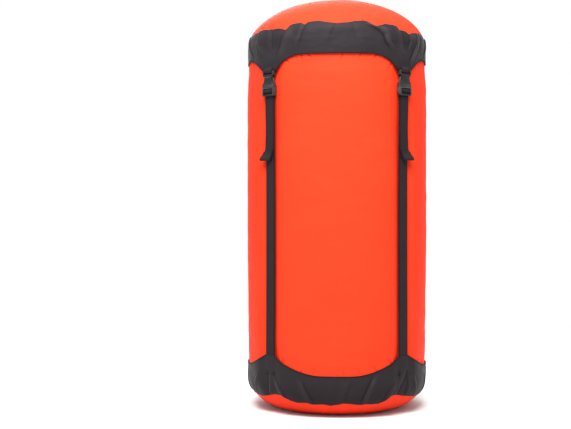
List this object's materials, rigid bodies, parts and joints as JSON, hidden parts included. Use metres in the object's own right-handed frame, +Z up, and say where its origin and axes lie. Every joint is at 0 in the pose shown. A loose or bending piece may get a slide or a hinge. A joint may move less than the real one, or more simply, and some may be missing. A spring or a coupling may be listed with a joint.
{
  "type": "compression sack",
  "caption": "Tall round fabric compression sack, fully extended, with dark ruffled bands, webbing straps, side-release buckles and a lift-off lid over a drawcord mouth.",
  "frame": {"origin": "centre of the base, where the sack stands", "axes": "+Z up along the sack's axis, -Y to the front, between two straps, +X to the front's right"},
  "size_m": [0.2328, 0.2328, 0.519],
  "materials": {
    "shell_fabric": "satin woven nylon",
    "harness_fabric": "satin woven nylon",
    "binding_tape": "matte woven tape",
    "webbing": "matte woven webbing",
    "buckle_plastic": "fine moulded texture",
    "cord": "braided",
    "cord_lock_plastic": "fine moulded texture",
    "spring_steel": "drawn wire"
  },
  "bodies": {
    "base": {"base_panel": "shell_fabric", "base_harness": "harness_fabric", "base_harness_binding": "binding_tape", "sack_tube_lower": "shell_fabric", "strap_run_front_right": "webbing", "strap_run_rear_right": "webbing", "strap_run_rear_left": "webbing", "strap_run_front_left": "webbing"},
    "mid_wall": {"sack_tube_middle": "shell_fabric"},
    "mouth": {"sack_tube_upper": "shell_fabric", "mouth_shoulder": "shell_fabric", "drawcord_hem": "shell_fabric", "drawcord": "cord", "cord_lock_barrel": "cord_lock_plastic", "cord_lock_spring": "spring_steel"},
    "lock_button": {"cord_lock_button": "cord_lock_plastic"},
    "lid": {"lid_panel": "shell_fabric", "lid_harness": "harness_fabric", "lid_harness_binding": "binding_tape", "buckle_loop_front_right": "webbing", "buckle_loop_rear_right": "webbing", "buckle_loop_rear_left": "webbing", "buckle_loop_front_left": "webbing", "buckle_socket_front_right": "buckle_plastic", "buckle_socket_rear_right": "buckle_plastic", "buckle_socket_rear_left": "buckle_plastic", "buckle_socket_front_left": "buckle_plastic"},
    "plug_front_right": {"buckle_plug_front_right": "buckle_plastic", "strap_tail_front_right": "webbing"},
    "left_prong_front_right": {"prong_left_front_right": "buckle_plastic"},
    "right_prong_front_right": {"prong_right_front_right": "buckle_plastic"},
    "plug_rear_right": {"buckle_plug_rear_right": "buckle_plastic", "strap_tail_rear_right": "webbing"},
    "left_prong_rear_right": {"prong_left_rear_right": "buckle_plastic"},
    "right_prong_rear_right": {"prong_right_rear_right": "buckle_plastic"},
    "plug_rear_left": {"buckle_plug_rear_left": "buckle_plastic", "strap_tail_rear_left": "webbing"},
    "left_prong_rear_left": {"prong_left_rear_left": "buckle_plastic"},
    "right_prong_rear_left": {"prong_right_rear_left": "buckle_plastic"},
    "plug_front_left": {"buckle_plug_front_left": "buckle_plastic", "strap_tail_front_left": "webbing"},
    "left_prong_front_left": {"prong_left_front_left": "buckle_plastic"},
    "right_prong_front_left": {"prong_right_front_left": "buckle_plastic"}
  },
  "joints": [
    {"name": "compress", "type": "slide", "parent": "base", "child": "mouth", "axis": [0, 0, -1], "range_m": [0, 0.285], "deforming": ["sack_tube_upper", "strap_run_front_right", "strap_run_rear_right", "strap_run_rear_left", "strap_run_front_left"]},
    {"name": "mid_wall_fold", "type": "slide", "parent": "base", "child": "mid_wall", "axis": [0, 0, -1], "range_m": [0, 0.1425], "deforming": ["sack_tube_middle"]},
    {"name": "lid_lift", "type": "slide", "parent": "mouth", "child": "lid", "axis": [0, 0, 1], "range_m": [0, 0.15]},
    {"name": "lock_button_press", "type": "slide", "parent": "mouth", "child": "lock_button", "axis": [0, 0, -1], "range_m": [0, 0.0035], "stiffness_N_per_m": 600, "springref_m": -0.003, "deforming": ["cord_lock_spring"]},
    {"name": "plug_release_front_right", "type": "slide", "parent": "mouth", "child": "plug_front_right", "axis": [0, 0, -1], "range_m": [0, 0.026]},
    {"name": "right_prong_squeeze_front_right", "type": "hinge", "parent": "plug_front_right", "child": "right_prong_front_right", "pos_m": [0.0859, -0.08267, 0.3996], "axis": [0.6884, -0.7254, 0], "range_deg": [0, 13], "stiffness_Nm_per_rad": 0.02, "deforming": ["prong_right_front_right"]},
    {"name": "left_prong_squeeze_front_right", "type": "hinge", "parent": "plug_front_right", "child": "left_prong_front_right", "pos_m": [0.07807, -0.09011, 0.3996], "axis": [0.6884, -0.7254, 0], "range_deg": [-13, 0], "stiffness_Nm_per_rad": 0.02, "deforming": ["prong_left_front_right"]},
    {"name": "plug_release_rear_right", "type": "slide", "parent": "mouth", "child": "plug_rear_right", "axis": [0, 0, -1], "range_m": [0, 0.026]},
    {"name": "right_prong_squeeze_rear_right", "type": "hinge", "parent": "plug_rear_right", "child": "right_prong_rear_right", "pos_m": [0.07807, 0.09011, 0.3996], "axis": [0.6884, 0.7254, 0], "range_deg": [0, 13], "stiffness_Nm_per_rad": 0.02, "deforming": ["prong_right_rear_right"]},
    {"name": "left_prong_squeeze_rear_right", "type": "hinge", "parent": "plug_rear_right", "child": "left_prong_rear_right", "pos_m": [0.0859, 0.08267, 0.3996], "axis": [0.6884, 0.7254, 0], "range_deg": [-13, 0], "stiffness_Nm_per_rad": 0.02, "deforming": ["prong_left_rear_right"]},
    {"name": "plug_release_rear_left", "type": "slide", "parent": "mouth", "child": "plug_rear_left", "axis": [0, 0, -1], "range_m": [0, 0.026]},
    {"name": "right_prong_squeeze_rear_left", "type": "hinge", "parent": "plug_rear_left", "child": "right_prong_rear_left", "pos_m": [-0.0859, 0.08267, 0.3996], "axis": [-0.6884, 0.7254, 0], "range_deg": [0, 13], "stiffness_Nm_per_rad": 0.02, "deforming": ["prong_right_rear_left"]},
    {"name": "left_prong_squeeze_rear_left", "type": "hinge", "parent": "plug_rear_left", "child": "left_prong_rear_left", "pos_m": [-0.07807, 0.09011, 0.3996], "axis": [-0.6884, 0.7254, 0], "range_deg": [-13, 0], "stiffness_Nm_per_rad": 0.02, "deforming": ["prong_left_rear_left"]},
    {"name": "plug_release_front_left", "type": "slide", "parent": "mouth", "child": "plug_front_left", "axis": [0, 0, -1], "range_m": [0, 0.026]},
    {"name": "right_prong_squeeze_front_left", "type": "hinge", "parent": "plug_front_left", "child": "right_prong_front_left", "pos_m": [-0.07807, -0.09011, 0.3996], "axis": [-0.6884, -0.7254, 0], "range_deg": [0, 13], "stiffness_Nm_per_rad": 0.02, "deforming": ["prong_right_front_left"]},
    {"name": "left_prong_squeeze_front_left", "type": "hinge", "parent": "plug_front_left", "child": "left_prong_front_left", "pos_m": [-0.0859, -0.08267, 0.3996], "axis": [-0.6884, -0.7254, 0], "range_deg": [-13, 0], "stiffness_Nm_per_rad": 0.02, "deforming": ["prong_left_front_left"]}
  ],
  "couplings": [
    {"joint": "mid_wall_fold", "follows": "compress", "ratio": 0.5},
    {"joint": "left_prong_squeeze_front_right", "follows": "right_prong_squeeze_front_right", "ratio": -1},
    {"joint": "left_prong_squeeze_rear_right", "follows": "right_prong_squeeze_rear_right", "ratio": -1},
    {"joint": "left_prong_squeeze_rear_left", "follows": "right_prong_squeeze_rear_left", "ratio": -1},
    {"joint": "left_prong_squeeze_front_left", "follows": "right_prong_squeeze_front_left", "ratio": -1}
  ]
}
